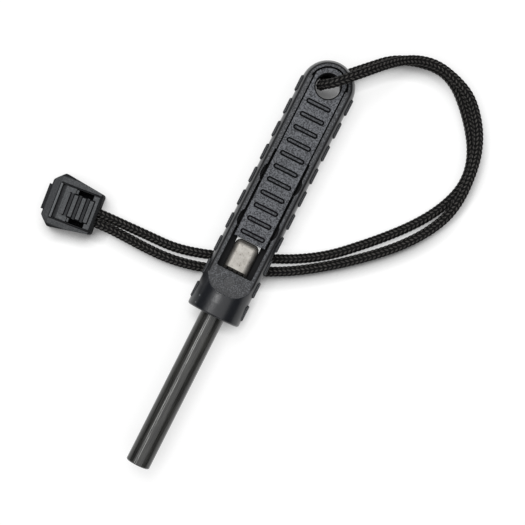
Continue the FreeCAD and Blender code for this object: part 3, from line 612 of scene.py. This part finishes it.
# Blade: tumbled steel, held by its tang in the strip. Its face rolls down towards its sides
# and towards the strip, with fine scratches, a few dark specks and a smoother rim. A dark
# line of painted shade lies where the rolled face meets the rim.
FLAT_HALF = 2.6
FLAT_END = 6.3
ROLL_REACH = 2.3
ROLL_DROP = 1.5
ROLL_STRETCH = 0.85
RIM_START = (0.97, 1.0)
DISH_LINE = (0.9, 0.98)
DISH_LINE_SOFT = 0.04
CLOUD_NOISE = (0.45, 4.0)
CLOUD_RANGE = (0.3, 0.7)
PIT_NOISE = (3.2, 3.0)
PIT_STRETCH = 0.5
PIT_RANGE = (0.62, 0.72)
SCRATCH_NOISE = (6.0, 3.0)
SCRATCH_STRETCH = 0.15
SCRATCH_DEPTH = 0.03
FACE_ROUGHNESS = 0.55
RIM_POLISH = 0.2
STEEL_DULL = (0.255, 0.242, 0.222, 1)
STEEL_BRIGHT = (0.34, 0.327, 0.304, 1)
STEEL_PIT = (0.07, 0.06, 0.05, 1)
STEEL_RIM = (0.235, 0.238, 0.236, 1)
STEEL_SHADE_LINE = (0.055, 0.052, 0.05, 1)

blade_material, blade_shader, blade_place = new_material("blade_steel", Metallic=1.0)
roll_x = (abs(blade_place.part(0)) - FLAT_HALF).most(0.0)
roll_y = (blade_place.part(1) - FLAT_END).most(0.0) * ROLL_STRETCH
roll = (roll_x.slant(roll_y) / ROLL_REACH).least(1.0)
on_rim = roll.rise(*RIM_START)
# Painted shade: a dark line just inside the rim.
dish_shade_line = roll.within(*DISH_LINE, DISH_LINE_SOFT)
cloud = blade_place.noise(*CLOUD_NOISE).rise(*CLOUD_RANGE)
pits = blade_place.scaled(1, PIT_STRETCH, 1).noise(*PIT_NOISE).rise(*PIT_RANGE)
scratches = blade_place.scaled(1, SCRATCH_STRETCH, 1).noise(*SCRATCH_NOISE)
blade_face = dish_shade_line.blend(cloud.blend(STEEL_DULL, STEEL_BRIGHT), STEEL_SHADE_LINE)
on_rim.blend(pits.blend(blade_face, STEEL_PIT), STEEL_RIM).feed(blade_shader, "Base Color")
(FACE_ROUGHNESS - RIM_POLISH * on_rim).feed(blade_shader, "Roughness")
blade_height = roll * roll * -ROLL_DROP + scratches * SCRATCH_DEPTH
blade_place.bump(blade_height).feed(blade_shader, "Normal")
dress("striker_blade", blade_material)


# Rod: a round bar of ferrocerium under a dark protective coating, bonded into the collar.
# Fine lines run along it, and two broken streaks, paler than the rest, are a painted
# highlight where the lamps' light line falls on it.
ROD_LINE_NOISE = (3.5, 4.0)
ROD_LINE_STRETCH = 0.03
ROD_LINE_RANGE = (0.3, 0.7)
ROD_LINE_DEPTH = 0.025
ROD_STREAKS = ((-1.4, -1.2), (-0.75, -0.55))
ROD_STREAK_RANGE = (0.4, 0.6)
ROD_STREAK_LOSS = 0.8
COATING_DARK = (0.009, 0.009, 0.0088, 1)
COATING_LIGHT = (0.034, 0.034, 0.031, 1)
COATING_HIGHLIGHT = (0.3, 0.3, 0.29, 1)

rod_material, rod_shader, rod_place = new_material(
    "rod_coating", Roughness=0.22, Specular_IOR_Level=0.5
)
rod_lines = rod_place.scaled(1, ROD_LINE_STRETCH, 1).noise(*ROD_LINE_NOISE)
rod_skin = rod_lines.rise(*ROD_LINE_RANGE).blend(COATING_DARK, COATING_LIGHT)
# Painted highlight: two broken pale streaks along the light line.
one_streak, other_streak = (rod_place.part(0).within(*streak) for streak in ROD_STREAKS)
unbroken = rod_lines.rise(*ROD_STREAK_RANGE)
rod_highlight_streaks = (one_streak + other_streak) * (1.0 - ROD_STREAK_LOSS + ROD_STREAK_LOSS * unbroken)
rod_highlight_streaks.blend(rod_skin, COATING_HIGHLIGHT).feed(rod_shader, "Base Color")
rod_place.bump(rod_lines * ROD_LINE_DEPTH).feed(rod_shader, "Normal")
dress("fire_rod", rod_material)


# Cord end fitting: a moulded case and the snap-in thumb piece, both of a greyer nylon. The
# patterns run along the fitting, so they are read in its own turned frame. Painted shade
# darkens gaps, steps and the sides that face away from the lamps by so much each, and the
# far slope; a painted highlight lies on the bar across the top.
LOCK_PLACE = (-66.56, -8.96, 0.0)
LOCK_TURN = math.radians(5.8)
LOCK_TOP = (8.1, 8.3)
LOCK_FOOT = (6.2, 5.4)
NEAR_END = (8.9, 9.1)
FAR_SLOPE = (-7.2, -7.6)
FAR_SLOPE_SHADE = 0.55
TONGUE = (-9.9, -10.1)
BAR = (-7.1, -6.3)
BAR_GAP = (-7.55, -7.25)
BAR_END = (7.0, 6.8)
TRAY = (-6.35, 9.1)
TRAY_SIDE = (6.95, 6.85)
CAVITY_TOP = (7.0, 6.7)
RECESS_FADE = (-3.7, -5.8)
RECESS_TOP = (8.2, 8.0)
SIDE_RIDGE = (6.85, 7.4)
SIDE_RIDGE_TOP = (7.4, 7.8)
PRESS_RIBS = 4
PRESS_RIB_FIRST = -3.1
PRESS_RIB_PITCH = 3.2
PRESS_RIB_EDGE = 0.75
PRESS_RIB_END = 4.35
PRESS_LENGTH = 9.6
PRESS_TOP = (7.9, 8.1)
PRESS_OUTLINE = (-0.05, 0.42)
PRESS_OUTLINE_SOFT = 0.05
PRESS_GAP = (0.3, 0.4)
PRESS_GAP_END = (0.3, 0.2)
LOCK_GRAIN_RANGE = (0.35, 0.75)
LOCK_GRAIN_DEPTH = 0.08
LOCK_EDGE = 0.3
LOCK_LIGHT = (0.35, 0.5)
RECESS_SHADE = 0.75
BAR_GAP_SHADE = 0.8
FOOT_SHADE = 0.9
NEAR_END_SHADE = 0.9
SIDE_RIDGE_SHADE = 0.95
TONGUE_SHADE = 0.6
PRESS_GAP_SHADE = 0.6
LOCK_NYLON_DARK = (0.012, 0.013, 0.015, 1)
LOCK_NYLON_LIGHT = (0.11, 0.115, 0.12, 1)

fitting_material, fitting_shader, fitting_place = new_material(
    "fitting_nylon", Specular_IOR_Level=0.2
)
lock_spot = fitting_place.make(
    "ShaderNodeMapping",
    {"vector_type": "TEXTURE"},
    {"Vector": fitting_place, "Location": LOCK_PLACE, "Rotation": (0, 0, LOCK_TURN)},
)
lock_along = lock_spot.part(0)
lock_across = abs(lock_spot.part(1))
lock_up = lock_spot.part(2)
lock_grain = lock_spot.noise(*SPARKED_GRAIN).rise(*LOCK_GRAIN_RANGE)
press_along = lock_along - PRESS_RIB_FIRST
press_x = abs(press_along.from_nearest(PRESS_RIB_PITCH, PRESS_RIBS)) - PRESS_RIB_EDGE
press_y = lock_across - PRESS_RIB_END
on_press = lock_up.rise(*PRESS_TOP)
press_outline = press_x.most(press_y).within(*PRESS_OUTLINE, PRESS_OUTLINE_SOFT) * on_press
press_outline = press_outline * press_along.rise(0.0, PRESS_RIB_EDGE)
press_gap = press_x.rise(*PRESS_GAP) * press_y.rise(*PRESS_GAP_END)
press_gap = press_gap * press_along.within(0.0, PRESS_LENGTH) * on_press
in_tray = lock_along.within(*TRAY) * lock_across.rise(*TRAY_SIDE)
beside_bar_end = lock_across.rise(*BAR_END)
# Painted shade: rib outlines, the cavity, the recess, gaps, the foot, the near end and ridges.
shade = press_outline.most(in_tray * lock_up.rise(*CAVITY_TOP))
for darkening, place in (
    (RECESS_SHADE, in_tray * lock_along.rise(*RECESS_FADE) * lock_up.rise(*RECESS_TOP)),
    (BAR_GAP_SHADE, lock_along.within(*BAR_GAP) * beside_bar_end),
    (FOOT_SHADE, lock_up.rise(*LOCK_FOOT)),
    (NEAR_END_SHADE, lock_along.rise(*NEAR_END)),
    (SIDE_RIDGE_SHADE, lock_across.within(*SIDE_RIDGE) * lock_up.rise(*SIDE_RIDGE_TOP)),
    (TONGUE_SHADE, lock_along.rise(*TONGUE)),
    (PRESS_GAP_SHADE, press_gap),
):
    shade = shade.most(darkening * place)
# Painted highlight on the bar, and painted shade on the far slope.
bar_highlight = lock_along.within(*BAR) * lock_up.rise(*LOCK_TOP) * beside_bar_end
far_slope_shade_factor = 1.0 - FAR_SLOPE_SHADE * lock_along.rise(*FAR_SLOPE)
plain, sparked = LOCK_LIGHT
lock_light = ((plain + sparked * lock_grain) * far_slope_shade_factor).most(bar_highlight)
lock_skin = lock_light.blend(LOCK_NYLON_DARK, LOCK_NYLON_LIGHT)
shade.blend(lock_skin, NYLON_SHADE).feed(fitting_shader, "Base Color")
(DULL_ROUGHNESS + OUTLINE_ROUGHNESS * shade).feed(fitting_shader, "Roughness")
fitting_place.bump(
    lock_grain * LOCK_GRAIN_DEPTH, Normal=fitting_place.soft_edges(LOCK_EDGE)
).feed(fitting_shader, "Normal")
dress("cord_end_shell", fitting_material)
dress("cord_end_insert", fitting_material)
